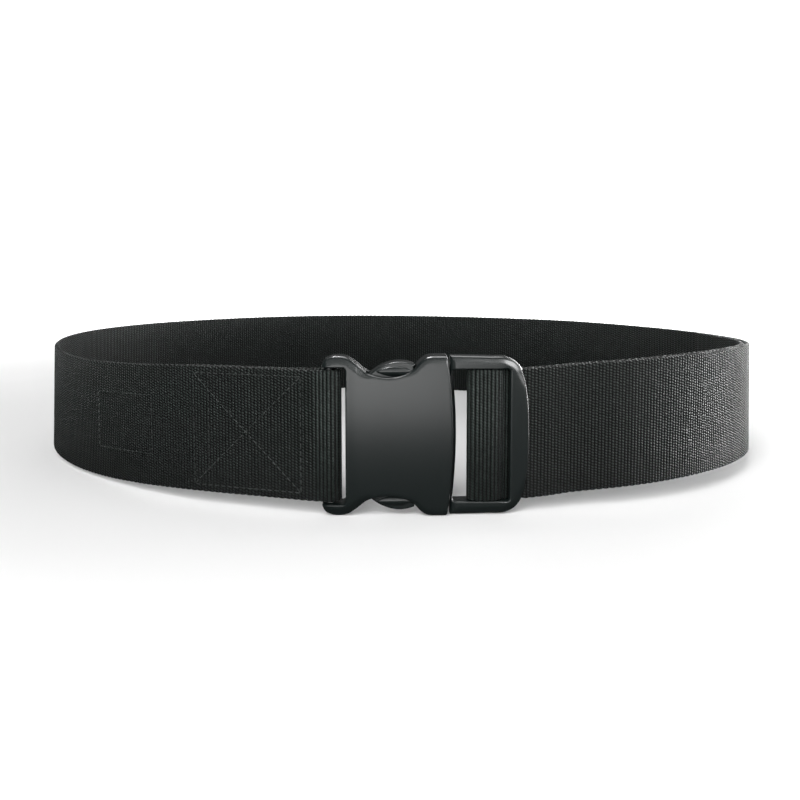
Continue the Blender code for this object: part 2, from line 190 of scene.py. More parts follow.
def on_curve(rows, spacing, knots, slopes):
    """Rows about `spacing` apart on the curve that has these slopes at its given rows."""
    count = max(2, round((knots[-1] - knots[0]) / spacing))
    at = np.linspace(knots[0], knots[-1], count + 1)
    left = np.clip(np.searchsorted(knots, at, side="right") - 1, 0, len(rows) - 2)
    step = (knots[left + 1] - knots[left])[:, None]
    u = (at[:, None] - knots[left][:, None]) / step
    return (
        (2 * u**3 - 3 * u**2 + 1) * rows[left]
        + (u**3 - 2 * u**2 + u) * step * slopes[left]
        + (3 * u**2 - 2 * u**3) * rows[left + 1]
        + (u**3 - u**2) * step * slopes[left + 1]
    )


def run_lengths(points):
    """Distance along the polyline at each point, from its x and y."""
    steps = np.hypot(*np.diff(points[:, :2], axis=0).T)
    return np.concatenate([[0.0], np.cumsum(steps)])


def left_normals(points):
    """Unit vectors to the left of the direction of travel, seen from above."""
    along = np.gradient(points[:, :2], run_lengths(points), axis=0)
    along /= np.linalg.norm(along, axis=1)[:, None]
    return np.stack([-along[:, 1], along[:, 0]], axis=1)


def from_buckle(x, y):
    """A point of the buckle's frame, seen from above, in the belt's frame."""
    cosine, sine = math.cos(BUCKLE_YAW), math.sin(BUCKLE_YAW)
    return x * cosine - y * sine, BUCKLE_Y + x * sine + y * cosine


def arc(centre, radius, start, end, steps):
    """Points on a circle in the buckle's frame. Angles are in degrees, from +x towards +y."""
    angles = np.radians(np.linspace(start, end, steps + 1))
    return [(centre[0] + radius * math.cos(a), centre[1] + radius * math.sin(a)) for a in angles]


def level_rows(points):
    """Stations for points of the buckle's frame, where the web stands straight at the buckle's height."""
    return np.array([(*from_buckle(x, y), WEB_LIFT_IN_BUCKLE, 0.0) for x, y in points])


def fold_arc():
    """The strip round the socket's hidden bar, from its inner side to its outer side."""
    radius = SOCKET_BAR_RADIUS + WEB_TO_BAR + WEB_THICK / 2
    tilt = math.degrees(FOLD_ANGLE)
    return arc((SOCKET_BAR_X, 0.0), radius, 90 - tilt, -90 - tilt, WRAP_STEPS)


def plug_route():
    """The strip through the plug: behind the outer bar, over the centre bar and back behind both."""
    radius = CENTRE_BAR_RADIUS + WEB_TO_BAR + WEB_THICK / 2
    left, right = CENTRE_BAR_ENDS
    rise = arc((right, 0.0), radius, CLIMB_ANGLE - 90, -90, 5)
    across = np.array([(OUTER_BAR_INNER_X, STRIP_BEHIND_BAR_Y), rise[0]])
    slope = math.radians(CLIMB_ANGLE)
    slopes = np.array([(-1.0, 0.0), (-math.cos(slope), -math.sin(slope))])
    climb = on_curve(across, CLIMB_SPACING, run_lengths(across), slopes)
    round_bar = arc((left, 0.0), radius, -90, -270, WRAP_STEPS)
    back_y = STRIP_BEHIND_BAR_Y + LAYER_STEP
    return [*map(tuple, climb), *rise[1:], *round_bar, (right, radius), (OUTER_BAR_INNER_X, back_y)]


def outer_layer(first, last):
    """The loop's outer layer, from the end of the socket's fold to the back of the plug's outer bar."""
    rows = np.array([first, *LOOP, last])
    knots = run_lengths(rows)
    heading = BUCKLE_YAW - FOLD_ANGLE
    leave = (-math.cos(heading), -math.sin(heading), 0.0, 0.0)
    arrive = (-math.cos(BUCKLE_YAW), -math.sin(BUCKLE_YAW), 0.0, 0.0)
    layer = on_curve(rows, STATION_SPACING, knots, smooth_slopes(rows, knots, leave, arrive))
    layer[:, 2] = np.maximum(layer[:, 2], LOWEST_LIFT)
    return layer


def turned_round(layer):
    """The same stations met from the other end, so that what leaned left leans right."""
    return layer[::-1] * np.array([1.0, 1.0, 1.0, -1.0])


def inner_layer(outer, side, length, first_step=LAYER_STEP):
    """The layer inside the first `length` of the outer one. Side is 1 where that is left, -1 where right."""
    at = run_lengths(outer)
    near = np.clip(1 - at / FOLD_CLOSING, 0.0, 1.0)
    steps = LAYER_STEP + (first_step - LAYER_STEP) * near**2 * (3 - 2 * near)
    layer = outer.copy()
    layer[:, :2] += side * left_normals(outer) * steps[:, None]
    return layer[: int(np.searchsorted(at, length)) + 1]


def strip_stations():
    """The whole strip from the sewn end to the free tail: x, y, lift and lean to the left."""
    fold = level_rows(fold_arc())
    plug = level_rows(plug_route())
    behind_bar = level_rows([(OUTER_BAR_ROUTE_X, STRIP_BEHIND_BAR_Y)])[0]
    outer = outer_layer(fold[-1], behind_bar)
    fold_step = float(np.hypot(*(fold[0] - fold[-1])[:2]))
    sewn = turned_round(inner_layer(outer, -1, FOLD_LENGTH, fold_step))
    tail = inner_layer(turned_round(outer), 1, TAIL_LENGTH)
    return np.concatenate([sewn[:-1], fold[:-1], outer, plug, tail])


def smoothstep(low, high, value):
    """0 below low, 1 above high, and a smooth rise between them."""
    t = np.clip((value - low) / (high - low), 0.0, 1.0)
    return t * t * (3 - 2 * t)


class Strip:
    """The strip's middle surface: where a distance along it and a height up it lie."""

    def __init__(self):
        stations = strip_stations()
        self.at = run_lengths(stations)
        self.length = float(self.at[-1])
        self.rows = stations
        self.normals = left_normals(stations)
        turn = np.abs(np.diff(np.unwrap(np.arctan2(self.normals[:, 1], self.normals[:, 0]))))
        self.bend_at = (self.at[1:] + self.at[:-1]) / 2
        self.bend = turn / np.diff(self.at)
        self.sewn_end = 2 * FOLD_LENGTH + FOLD_WRAP

    def read(self, distance):
        """x, y, lift, lean in radians, and the left normal's x and y at these distances."""
        x, y, lift, lean = (np.interp(distance, self.at, self.rows[:, k]) for k in range(4))
        nx, ny = (np.interp(distance, self.at, self.normals[:, k]) for k in range(2))
        size = np.hypot(nx, ny)
        return x, y, lift, np.radians(lean), nx / size, ny / size

    def place(self, distance, height, out):
        """Points `out` to the left of the middle surface, in the row frame."""
        x, y, lift, lean, nx, ny = self.read(distance)
        sideways = out + (height - WEB_WIDTH / 2) * np.sin(lean)
        points = np.stack([x + nx * sideways, y + ny * sideways, lift + height * np.cos(lean)], axis=-1)
        return points + BELT_OFFSET

    def tight(self, distance):
        """1 where the strip wraps round a bar, 0 where it runs in the loop."""
        bend = np.interp(distance, self.bend_at, self.bend)
        wide = np.maximum.reduce([np.interp(distance + d, self.bend_at, self.bend) for d in (-0.003, 0.003)])
        return smoothstep(*WRAP_BENDS, np.maximum(bend, wide))


def belt_offset():
    """From the belt's own frame to the row frame, whose origin is the middle of the belt's footprint."""
    low, high = (np.array(corner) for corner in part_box("web_strap"))
    stations = strip_stations()
    normals = left_normals(stations)
    reach = []
    for out in (-WEB_THICK / 2, WEB_THICK / 2):
        for height in (0.0, WEB_WIDTH):
            lean = np.radians(stations[:, 3])
            sideways = out + (height - WEB_WIDTH / 2) * np.sin(lean)
            reach.append(stations[:, :2] + normals * sideways[:, None])
    reach = np.concatenate(reach)
    middle = (low + high)[:2] / 2 - (reach.min(axis=0) + reach.max(axis=0)) / 2
    return np.array([middle[0], middle[1], low[2]])


BELT_OFFSET = belt_offset()


def new_mesh(name, points, faces, material, normals=None):
    """A smooth-shaded object from arrays of points and of faces, at the origin."""
    mesh = bpy.data.meshes.new(name)
    mesh.from_pydata(points.tolist(), [], faces if isinstance(faces, list) else faces.tolist())
    mesh.validate()
    mesh.shade_smooth()
    if normals is not None:
        mesh.normals_split_custom_set_from_vertices(normals.tolist())
    made = bpy.data.objects.new(name, mesh)
    SCENE.collection.objects.link(made)
    mesh.materials.append(material)
    return made


def grid_faces(rings, count):
    """Quads between neighbouring rings of `count` points, each ring closed."""
    ring, i = np.meshgrid(np.arange(rings - 1), np.arange(count), indexing="ij")
    j = (i + 1) % count
    a, b = ring * count, (ring + 1) * count
    return np.stack([a + i, a + j, b + j, b + i], axis=-1).reshape(-1, 4)


# Materials: linear colours, a darker and a lighter one where the tone wanders
# Painted shade: the near-black groove colour stands in for the shadow that the beads cast into the gaps
# between them.
PAINTED_GROOVE_SHADE = (0.0003, 0.0005, 0.0004, 1.0)
BEADS = ((0.0028, 0.0044, 0.0038, 1.0), (0.0145, 0.0203, 0.0180, 1.0))
STITCHES = ((0.018, 0.021, 0.020, 1.0), (0.046, 0.052, 0.050, 1.0))
PLASTIC = ((0.0046, 0.0071, 0.0069, 1.0), (0.0071, 0.0103, 0.0100, 1.0))
PAPER = ((0.88, 0.88, 0.88, 1.0), (0.90, 0.90, 0.90, 1.0))
WEB_ROUGHNESS = (1.0, 0.45)
PLASTIC_ROUGHNESS = 0.27


class Nodes:
    """A short way to write a material's node tree."""

    def __init__(self, name):
        self.material = bpy.data.materials.new(name)
        self.material.use_nodes = True
        self.tree = self.material.node_tree
        self.shader = self.tree.nodes["Principled BSDF"]

    def add(self, kind, inputs=(), **settings):
        node = self.tree.nodes.new(kind)
        for key, value in settings.items():
            setattr(node, key, value)
        for key, value in dict(inputs).items():
            self.put(node.inputs[key], value)
        return node

    def put(self, socket, value):
        if isinstance(value, bpy.types.NodeSocket):
            self.tree.links.new(value, socket)
        else:
            socket.default_value = value

    def math(self, operation, *values):
        return self.add("ShaderNodeMath", dict(enumerate(values)), operation=operation).outputs[0]

    def ramp(self, value, low, high, to_low=0.0, to_high=1.0):
        sockets = {0: value, 1: low, 2: high, 3: to_low, 4: to_high}
        return self.add("ShaderNodeMapRange", sockets, interpolation_type="SMOOTHSTEP").outputs[0]

    def mix(self, factor, first, second):
        node = self.add("ShaderNodeMix", data_type="RGBA", clamp_factor=False)
        self.put(node.inputs[0], factor)
        self.put(node.inputs[6], first)
        self.put(node.inputs[7], second)
        return node.outputs[2]

    def noise(self, vector, scale, detail=2.0, roughness=0.5):
        sockets = {"Vector": vector, "Scale": scale, "Detail": detail, "Roughness": roughness}
        return self.add("ShaderNodeTexNoise", sockets).outputs["Fac"]

    def bump(self, height, distance, strength=1.0, normal=None):
        sockets = {"Height": height, "Distance": distance, "Strength": strength}
        if normal is not None:
            sockets["Normal"] = normal
        return self.add("ShaderNodeBump", sockets).outputs[0]


def web_material():
    """Coarse nylon: beads along the ribs, painted shade in the grooves between them, and slow changes of
    tone.
    """
    n = Nodes("web_nylon")
    weave = n.add("ShaderNodeAttribute", attribute_name="weave").outputs["Vector"]
    parts = n.add("ShaderNodeSeparateXYZ", {0: weave})
    along, up, tight = parts.outputs
    rib = n.math("MULTIPLY", along, 1 / (RIB_PITCH / MM))
    rib_number = n.math("FLOOR", rib)
    across = n.math("SUBTRACT", n.math("FRACT", rib), 0.5)
    odd = n.math("MODULO", rib_number, 2.0)
    wander = n.noise(weave, 0.12, 2.0)
    slant = n.math("MULTIPLY", rib, n.math("SUBTRACT", BEAD_SLANT, n.math("MULTIPLY", rib, BEAD_SLANT_LOSS)))
    bead = n.math("SUBTRACT", n.math("MULTIPLY", up, 1 / (BEAD_PITCH / MM)), slant)
    bead = n.math("ADD", bead, n.math("MULTIPLY", odd, BEAD_ALTERNATION))
    bead = n.math("ADD", bead, n.math("MULTIPLY", wander, 0.9))
    within = n.math("ABSOLUTE", n.math("SUBTRACT", n.math("FRACT", bead), 0.5))
    oval = n.math("SUBTRACT", 1.0, n.math("POWER", n.math("MULTIPLY", within, 2.0), 1.7))
    side = n.math("SUBTRACT", 1.0, n.math("POWER", n.math("MULTIPLY", n.math("ABSOLUTE", across), 2.0), 1.9))
    bead_share = n.ramp(tight, 0.0, 1.0, 1.0, 0.35)
    oval = n.math("SUBTRACT", 1.0, n.math("MULTIPLY", n.math("SUBTRACT", 1.0, oval), bead_share))
    height = n.math("MULTIPLY", oval, side)
    fibre = n.noise(weave, 9.0, 2.0)
    height = n.math("ADD", height, n.math("MULTIPLY", fibre, 0.08))
    cell = n.add("ShaderNodeCombineXYZ", {0: rib_number, 1: n.math("FLOOR", bead)}).outputs[0]
    chance = n.add("ShaderNodeTexWhiteNoise", {"Vector": cell}, noise_dimensions="2D").outputs["Value"]
    patches = n.noise(weave, 0.11, 3.0)
    gleam = n.math("MULTIPLY", n.ramp(chance, 0.0, 1.0, 0.75, 1.25), n.ramp(patches, 0.25, 0.75, 0.8, 1.25))
    bead_face = n.ramp(height, 0.28, 0.9)
    # Painted shade: where a bead falls away, the colour goes to the near-black groove colour in place of the
    # shadow between the beads.
    n.put(n.shader.inputs["Base Color"], n.mix(bead_face, PAINTED_GROOVE_SHADE, n.mix(gleam, *BEADS)))
    n.put(n.shader.inputs["Roughness"], n.ramp(bead_face, 0.0, 1.0, *WEB_ROUGHNESS))
    n.put(n.shader.inputs["Normal"], n.bump(height, 0.00045))
    n.shader.inputs["Specular IOR Level"].default_value = 0.22
    n.shader.inputs["Sheen Weight"].default_value = 0.02
    n.shader.inputs["Sheen Roughness"].default_value = 0.4
    return n.material


def thread_material():
    """The bonded thread of the stitches, twisted and a little lighter than the web."""
    n = Nodes("thread")
    weave = n.add("ShaderNodeAttribute", attribute_name="weave").outputs["Vector"]
    wave = {"Vector": weave, "Scale": 1.1, "Distortion": 0.6}
    twist = n.add("ShaderNodeTexWave", wave, bands_direction="DIAGONAL")
    n.put(n.shader.inputs["Base Color"], n.mix(twist.outputs["Fac"], *STITCHES))
    n.put(n.shader.inputs["Normal"], n.bump(twist.outputs["Fac"], 0.0001))
    n.shader.inputs["Roughness"].default_value = 0.5
    return n.material


def plastic_material(name, seed):
    """Satin moulded plastic: a very fine moulded grain and faint flow marks."""
    n = Nodes(name)
    place = n.add("ShaderNodeTexCoord").outputs["Object"]
    place = n.add("ShaderNodeVectorMath", {0: place, 1: (seed, seed, seed)}, operation="ADD").outputs[0]
    flow = n.noise(place, 30.0, 1.0)
    grain = n.noise(place, 9000.0, 2.0)
    n.put(n.shader.inputs["Base Color"], n.mix(flow, *PLASTIC))
    n.shader.inputs["Roughness"].default_value = PLASTIC_ROUGHNESS
    n.put(n.shader.inputs["Normal"], n.bump(grain, 0.000006, 0.3))
    return n.material


def stage_material():
    """White paper that glows a little away from the belt, so that the backdrop stays even."""
    n = Nodes("studio_white")
    place = n.add("ShaderNodeTexCoord").outputs["Object"]
    n.put(n.shader.inputs["Base Color"], n.mix(n.noise(place, 3.0), *PAPER))
    far = n.add("ShaderNodeVectorMath", {0: place}, operation="LENGTH").outputs["Value"]
    glow = n.ramp(far, GLOW_FROM, GLOW_TO, 0.0, 1.0)
    n.shader.inputs["Emission Color"].default_value = (1.0, 1.0, 1.0, 1.0)
    n.put(n.shader.inputs["Emission Strength"], glow)
    n.shader.inputs["Roughness"].default_value = 0.9
    return n.material


# Web


def web_profile():
    """The web's section, once round: how far up it, which side, and the share of the rib's height there."""
    top, bottom = WEB_WIDTH - WEB_EDGE, WEB_EDGE
    side = [(bottom, 1.0, 1.0), (WEB_WIDTH * 0.5, 1.0, 1.0), (top, 1.0, 1.0)]
    upper = [(WEB_WIDTH, 0.45, 0.0), (WEB_WIDTH, -0.45, 0.0)]
    other = [(height, -across, share) for height, across, share in reversed(side)]
    lower = [(0.0, -0.45, 0.0), (0.0, 0.45, 0.0)]
    return np.array(side + upper + other + lower)


def make_web(strip, material):
    """The whole strip as one ribbed mesh that carries its place in the weave."""
    count = int(strip.length / RIB_PITCH) * RIB_SAMPLES
    distance = np.linspace(0.0, strip.length, count + 1)
    tight = strip.tight(distance)
    rib = np.abs(np.sin(math.pi * distance / RIB_PITCH)) ** 0.8
    depth = RIB_DEPTH + (BEND_RIB_DEPTH - RIB_DEPTH) * tight
    edge_bump = SELVEDGE_BUMP * (np.abs(np.sin(math.pi * distance / (2 * RIB_PITCH))) - 1.0)
    rings, weave = [], []
    for height, across, share in web_profile():
        half = WEB_THICK / 2 - depth * (1 - rib) * share
        rise = np.where(share > 0, 0.0, edge_bump * (1 if height > WEB_WIDTH / 2 else -1))
        rings.append(strip.place(distance, height + rise, across * half))
        weave.append(np.stack([distance / MM, np.full_like(distance, height / MM), tight], axis=-1))
    points = np.stack(rings, axis=1)
    weave = np.stack(weave, axis=1)
    size = points.shape[1]
    faces = grid_faces(len(points), size)
    web = new_mesh("web", points.reshape(-1, 3), faces, material)
    attribute = web.data.attributes.new("weave", "FLOAT_VECTOR", "POINT")
    attribute.data.foreach_set("vector", weave.reshape(-1).astype(np.float32))
    close_ends(web, len(points), size)
    return web


def close_ends(piece, rings, size):
    """Closes the first and the last ring with a face each."""
    bm = bmesh.new()
    bm.from_mesh(piece.data)
    bm.verts.ensure_lookup_table()
    for start in (0, (rings - 1) * size):
        bm.faces.new([bm.verts[start + i] for i in range(size)])
    bmesh.ops.recalc_face_normals(bm, faces=bm.faces)
    bm.to_mesh(piece.data)
    bm.free()


# Stitches


def stitch_line(start, end):
    """Stitches along a line on the web: the start and end of each, as distance and height in mm."""
    start, end = np.array(start), np.array(end)
    run = float(np.linalg.norm(end - start))
    count = max(1, round(run / (STITCH_LENGTH + STITCH_GAP)))
    marks = np.linspace(0.0, 1.0, count + 1)
    gap = STITCH_GAP / run / 2
    spans = zip(marks[:-1] + gap, marks[1:] - gap)
    return [(start + (end - start) * a, start + (end - start) * b) for a, b in spans]


def rectangle(ends, heights):
    """The four sides of a stitched rectangle."""
    corners = [(ends[0], heights[0]), (ends[1], heights[0]), (ends[1], heights[1]), (ends[0], heights[1])]
    return [*zip(corners, corners[1:] + corners[:1])]


def stitch_lines():
    """The box with its cross and second row, and the small rectangle."""
    lines = rectangle(BOX_ENDS, BOX_HEIGHTS)
    lines.append(((BOX_ENDS[0], BOX_HEIGHTS[0]), (BOX_ENDS[1], BOX_HEIGHTS[1])))
    lines.append(((BOX_ENDS[0], BOX_HEIGHTS[1]), (BOX_ENDS[1], BOX_HEIGHTS[0])))
    lines.append(((BOX_SECOND_ROW, BOX_HEIGHTS[0]), (BOX_SECOND_ROW, BOX_HEIGHTS[1])))
    return lines + rectangle(PATCH_ENDS, PATCH_HEIGHTS)


def make_stitches(strip, material):
    """Each stitch is a short tube that dips into the web at both ends, once on each side of the seam."""
    sides, steps = 6, 5
    points, faces, weave = [], [], []
    along = np.linspace(0.0, 1.0, steps + 1)
    arch = np.sin(math.pi * along)
    for line in stitch_lines():
        for first, second in stitch_line(*line):
            middle = first[None] + (second - first)[None] * along[:, None]
            across = np.array([-(second - first)[1], (second - first)[0]]) / np.linalg.norm(second - first)
            radius = STITCH_RADIUS * (0.35 + 0.65 * arch**0.5)
            lift = WEB_THICK / 2 / MM - STITCH_RADIUS * 0.9 + STITCH_RADIUS * 1.1 * arch**0.6
            inner_step = LAYER_STEP / MM if (first[0] + second[0]) / 2 < strip.sewn_end / MM else 0.0
            for side, step in ((1, 0.0), (-1, inner_step)):
                start = len(points) * sides
                for k in range(steps + 1):
                    turn = np.arange(sides) * 2 * math.pi / sides * side
                    spot = middle[k][None] + across[None] * (np.cos(turn) * radius[k])[:, None]
                    out = side * (lift[k] + step + np.sin(turn * side) * radius[k])
                    points.append(strip.place(spot[:, 0] * MM, spot[:, 1] * MM, out * MM))
                    weave.append(np.stack([np.full(sides, k * 1.0), turn, np.zeros(sides)], axis=-1))
                faces.append(grid_faces(steps + 1, sides) + start)
    stitches = new_mesh("stitches", np.concatenate(points), np.concatenate(faces), material)
    attribute = stitches.data.attributes.new("weave", "FLOAT_VECTOR", "POINT")
    attribute.data.foreach_set("vector", np.concatenate(weave).reshape(-1).astype(np.float32))
    return stitches


# Buckle: each half is the surface of a distance field, in mm in the buckle's frame, so every edge is rounded.
# The last value of each round_max and round_min is that edge's radius.

# x, half_height, half_thick
SOCKET_ROWS = np.array([
    (-29.8, 26.6, 5.6),
    (-28.6, 28.9, 5.8),
    (-26.6, 30.2, 5.9),
    (-22.9, 30.8, 6.0),
    (-20.0, 30.4, 6.3),
    (-16.5, 28.1, 6.8),
    (-12.6, 24.8, 7.1),
    (-8.0, 23.2, 7.2),
    (-3.0, 22.8, 7.2),
    (2.0, 23.9, 7.2),
    (5.9, 26.3, 7.2),
    (8.0, 28.7, 7.2),
    (10.3, 30.3, 7.2),
    (12.5, 30.8, 7.2),
    (17.8, 30.8, 7.2),
])
PLUG_START = 19.4
FRAME_TIP = 50.15
# x, z
PLUG_OUTLINE = [
    (FRAME_TIP, 0.0),
    (50.1, 3.0),
    (49.8, 11.0),
    (49.0, 18.0),
    (47.8, 23.3),
    (46.4, 26.4),
    (44.3, 28.6),
    (41.2, 30.0),
    (34.0, 30.4),
    (PLUG_START, 30.8),
]
PRONG_OUTLINE = [
    (-12.2, 21.4),
    (-11.2, 23.6),
    (-8.5, 25.9),
    (-5.0, 27.6),
    (-1.3, 28.5),
    (2.5, 28.4),
    (5.8, 27.5),
    (5.8, 24.8),
    (10.0, 23.6),
    (15.5, 22.6),
    (15.5, 19.0),
    (9.0, 19.9),
    (2.0, 20.7),
    (-6.0, 20.8),
    (-11.2, 20.4),
]
# The socket's face falls away by CROWN at this height above its middle
CROWN = 1.0
CROWN_REACH = 25.5
# The socket's outer edge is rounded, and its face slopes back over this width inside it
# x, radius, width
SOCKET_EDGES = np.array([
    (-30.0, 0.8, 2.6),
    (-24.5, 0.8, 2.6),
    (-20.0, 1.0, 2.7),
    (-16.0, 1.0, 2.5),
    (-12.0, 0.9, 1.5),
    (-9.5, 0.6, 0.6),
    (1.5, 0.6, 0.6),
    (6.0, 0.9, 1.4),
    (9.0, 1.0, 2.0),
    (18.0, 1.0, 2.0),
])
EDGE_SLOPE = 0.42
EDGE_CREST = 0.5

# Socket: pairs named HALF hold half the thickness and half the height
SOCKET_START = -29.8
SOCKET_END = 18.3
SOCKET_HALF = 30.8
END_BULGE = 2.2
SLOT_HALF = 26.4
SLOT_END = -20.4
CAVITY_START = -12.6
CAVITY_HALF = (4.4, 25.6)
CAVITY_END_HALF = 20.0
CAVITY_END = (-17.5, -10.0)
WINDOW_END = 6.3
BAR_HALF = 27.0

# Plug: its frame with two bars, then the crossbar, the prongs with a lens on each button, and the guide
FRAME_HALF_THICK = 4.0
PLUG_EDGE_WIDTH = 2.3
PLUG_SLOT_HALF = 25.5
PLUG_SLOT_ENDS = (19.9, 42.3)
WEB_PASS_START = 41.3
RECESS_END = 23.0
RECESS_HALF = 25.0
CROSSBAR_ENDS = (14.6, 19.0)
CROSSBAR_HALF = 25.0
PRONG_HALF_THICK = 3.9
LENS_X = -1.6
LENS_MIDDLE = 25.0
LENS_HALF = (6.9, 1.9)
LENS_HALF_THICK = 5.0
GUIDE_ENDS = (-15.0, 16.0)
GUIDE_HALF = (2.2, 2.9)

# low, high: the box that each half's surface is searched in, and the steps of that search
SOCKET_REACH = ((-31, -8, -32), (22, 8, 32))
PLUG_REACH = ((-17, -6, -32), (51, 6, 32))
RELAX_ROUNDS = 4
SOCKET_GRID = 0.36
PLUG_GRID = 0.3


def round_max(a, b, radius):
    """The overlap of two distance fields, with its outer edge rounded."""
    corner = np.hypot(np.maximum(a + radius, 0), np.maximum(b + radius, 0))
    return np.minimum(np.maximum(a, b), -radius) + corner


def round_min(a, b, radius):
    """The union of two distance fields, with its inner corner filled."""
    return -round_max(-a, -b, radius)


def above_zero(value):
    """The value where it is above zero, and 0 below it, with a soft bend between."""
    return 0.5 * (value + np.hypot(value, EDGE_CREST))


def slab(value, low, high):
    """Signed distance to the layer between two planes, below zero inside."""
    return np.abs(value - (low + high) / 2) - (high - low) / 2


def outline_distance(x, z, outline):
    """Signed distance to a closed outline, below zero inside."""
    points = np.array(outline)
    nearest = np.full(x.shape, 1e9)
    inside = np.zeros(x.shape, bool)
    for (ax, az), (bx, bz) in zip(points, np.roll(points, -1, axis=0)):
        along = (bx - ax) ** 2 + (bz - az) ** 2
        t = np.clip(((x - ax) * (bx - ax) + (z - az) * (bz - az)) / along, 0, 1)
        nearest = np.minimum(nearest, (x - ax - t * (bx - ax)) ** 2 + (z - az - t * (bz - az)) ** 2)
        if bz != az:
            crosses = ((az > z) != (bz > z)) & (x < (bx - ax) * (z - az) / (bz - az) + ax)
            inside ^= crosses
    return np.where(inside, -1.0, 1.0) * np.sqrt(nearest)


def smooth_outline(outline, spacing=0.6):
    """The outline with its corners between rows rounded by a spline."""
    rows = np.array(outline)
    knots = run_lengths(rows)
    slopes = np.gradient(rows, knots, axis=0)
    return on_curve(rows, spacing, knots, slopes)


def socket_rows():
    """The socket's rows on a smooth curve, close enough together to read between."""
    knots = SOCKET_ROWS[:, 0]
    slopes = np.gradient(SOCKET_ROWS, knots, axis=0)
    return on_curve(SOCKET_ROWS, 0.2, knots, slopes)


SOCKET_CURVE = socket_rows()
SOCKET_SLOPE = np.gradient(SOCKET_CURVE[:, 1], SOCKET_CURVE[:, 0])
PLUG_CURVE = [(FRAME_TIP, -9.0), *smooth_outline(PLUG_OUTLINE), (PLUG_START, -9.0)]
PRONG_TOP = smooth_outline(PRONG_OUTLINE[:7])
PRONG_CURVE = [*PRONG_TOP, *PRONG_OUTLINE[7:]]


def socket_field(x, y, z):
    up = np.abs(z)
    half_height = np.minimum(np.interp(x, SOCKET_CURVE[:, 0], SOCKET_CURVE[:, 1]), SOCKET_HALF)
    slope = np.interp(x, SOCKET_CURVE[:, 0], SOCKET_SLOPE)
    half_thick = np.interp(x, SOCKET_CURVE[:, 0], SOCKET_CURVE[:, 2])
    side = (up - half_height) / np.sqrt(1 + slope**2)
    face = np.abs(y) - half_thick + CROWN * (up / CROWN_REACH) ** 2
    bulge = END_BULGE * smoothstep(8.0, 17.8, x) * (1 - (up / SOCKET_HALF) ** 2)
    face = face + EDGE_SLOPE * above_zero(side + np.interp(x, SOCKET_EDGES[:, 0], SOCKET_EDGES[:, 2]))
    body = round_max(side, face, np.interp(x, SOCKET_EDGES[:, 0], SOCKET_EDGES[:, 1]))
    body = round_max(body, x - SOCKET_END - bulge, 0.8)
    body = round_max(body, SOCKET_START - x, 0.8)
    slot = round_max(up - SLOT_HALF, x - SLOT_END, 1.3)
    body = round_max(body, -slot, 0.5)
    cavity = round_max(np.abs(y) - CAVITY_HALF[0], up - CAVITY_HALF[1], 0.8)
    cavity = round_max(cavity, CAVITY_START - x, 0.8)
    cavity_end = round_max(np.abs(y) - CAVITY_HALF[0], up - CAVITY_END_HALF, 0.8)
    cavity_end = np.maximum(cavity_end, slab(x, *CAVITY_END))
    windows = np.maximum(np.abs(y) - CAVITY_HALF[0], slab(x, CAVITY_START, WINDOW_END))
    hollow = np.minimum(np.minimum(cavity, cavity_end), windows)
    body = round_max(body, -hollow, 0.45)
    bar = round_max(np.hypot(x - SOCKET_BAR_X / MM, y) - SOCKET_BAR_RADIUS / MM, up - BAR_HALF, 0.2)
    return round_min(body, bar, 0.4)


def plug_field(x, y, z):
    up = np.abs(z)
    rim = outline_distance(x, up, PLUG_CURVE)
    lean = np.where(y < 0, 0.9 * smoothstep(40.0, 50.0, x), 0.0)
    width = PLUG_EDGE_WIDTH * (1 - 0.6 * smoothstep(40.0, 49.0, x) * (1 - smoothstep(17.0, 24.0, up)))
    plug_face = np.abs(y) - FRAME_HALF_THICK + EDGE_SLOPE * above_zero(rim + width) + lean
    frame_body = round_max(rim, plug_face, 1.0)
    start = 20.4 + 1.5 * (1 - (up / 24.0) ** 2)
    slot_ends = np.maximum(np.maximum(start, PLUG_SLOT_ENDS[0]) - x, x - PLUG_SLOT_ENDS[1])
    slot = round_max(up - PLUG_SLOT_HALF, slot_ends, 0.9)
    slot_edge = 0.5 + 0.3 * smoothstep(38.0, 41.0, x)
    frame_body = round_max(frame_body, -slot, slot_edge)
    recess = np.maximum(x - RECESS_END, up - RECESS_HALF)
    recess = np.maximum(recess, (RECESS_END + 0.1 - x - np.abs(y)) * 0.7)
    frame_body = round_max(frame_body, -recess, 0.3)
    web_pass = round_max(OUTER_BAR_BACK / MM - y, up - PLUG_SLOT_HALF, 0.3)
    web_pass = round_max(web_pass, WEB_PASS_START - x, 0.3)
    frame_body = round_max(frame_body, -web_pass, 0.3)
    bar_ends = [end / MM for end in CENTRE_BAR_ENDS]
    centre_bar = np.hypot(np.maximum(slab(x, *bar_ends), 0), y) - CENTRE_BAR_RADIUS / MM
    body = round_min(frame_body, round_max(centre_bar, up - BAR_HALF, 0.2), 0.6)
    crossbar = round_max(slab(x, *CROSSBAR_ENDS), np.abs(y) - PRONG_HALF_THICK, 0.5)
    crossbar = round_max(crossbar, up - CROSSBAR_HALF, 0.5)
    body = round_min(body, crossbar, 0.3)
    prong = round_max(outline_distance(x, up, PRONG_CURVE), np.abs(y) - PRONG_HALF_THICK, 0.7)
    across = (x - LENS_X) / LENS_HALF[0]
    rise = (up - LENS_MIDDLE) / LENS_HALF[1]
    oval = np.abs(up - LENS_MIDDLE) - LENS_HALF[1] * (1 - across**2)
    dome = np.abs(y) - LENS_HALF_THICK + 0.9 * rise**2 + 0.3 * across**2
    lens = round_max(oval, dome, 0.35)
    prong = round_min(prong, lens, 0.2)
    body = round_min(body, prong, 0.4)
    guide = round_max(slab(x, *GUIDE_ENDS), np.abs(y) - GUIDE_HALF[0], 0.5)
    guide = round_max(guide, up - GUIDE_HALF[1], 0.5)
    return round_min(body, guide, 0.5)


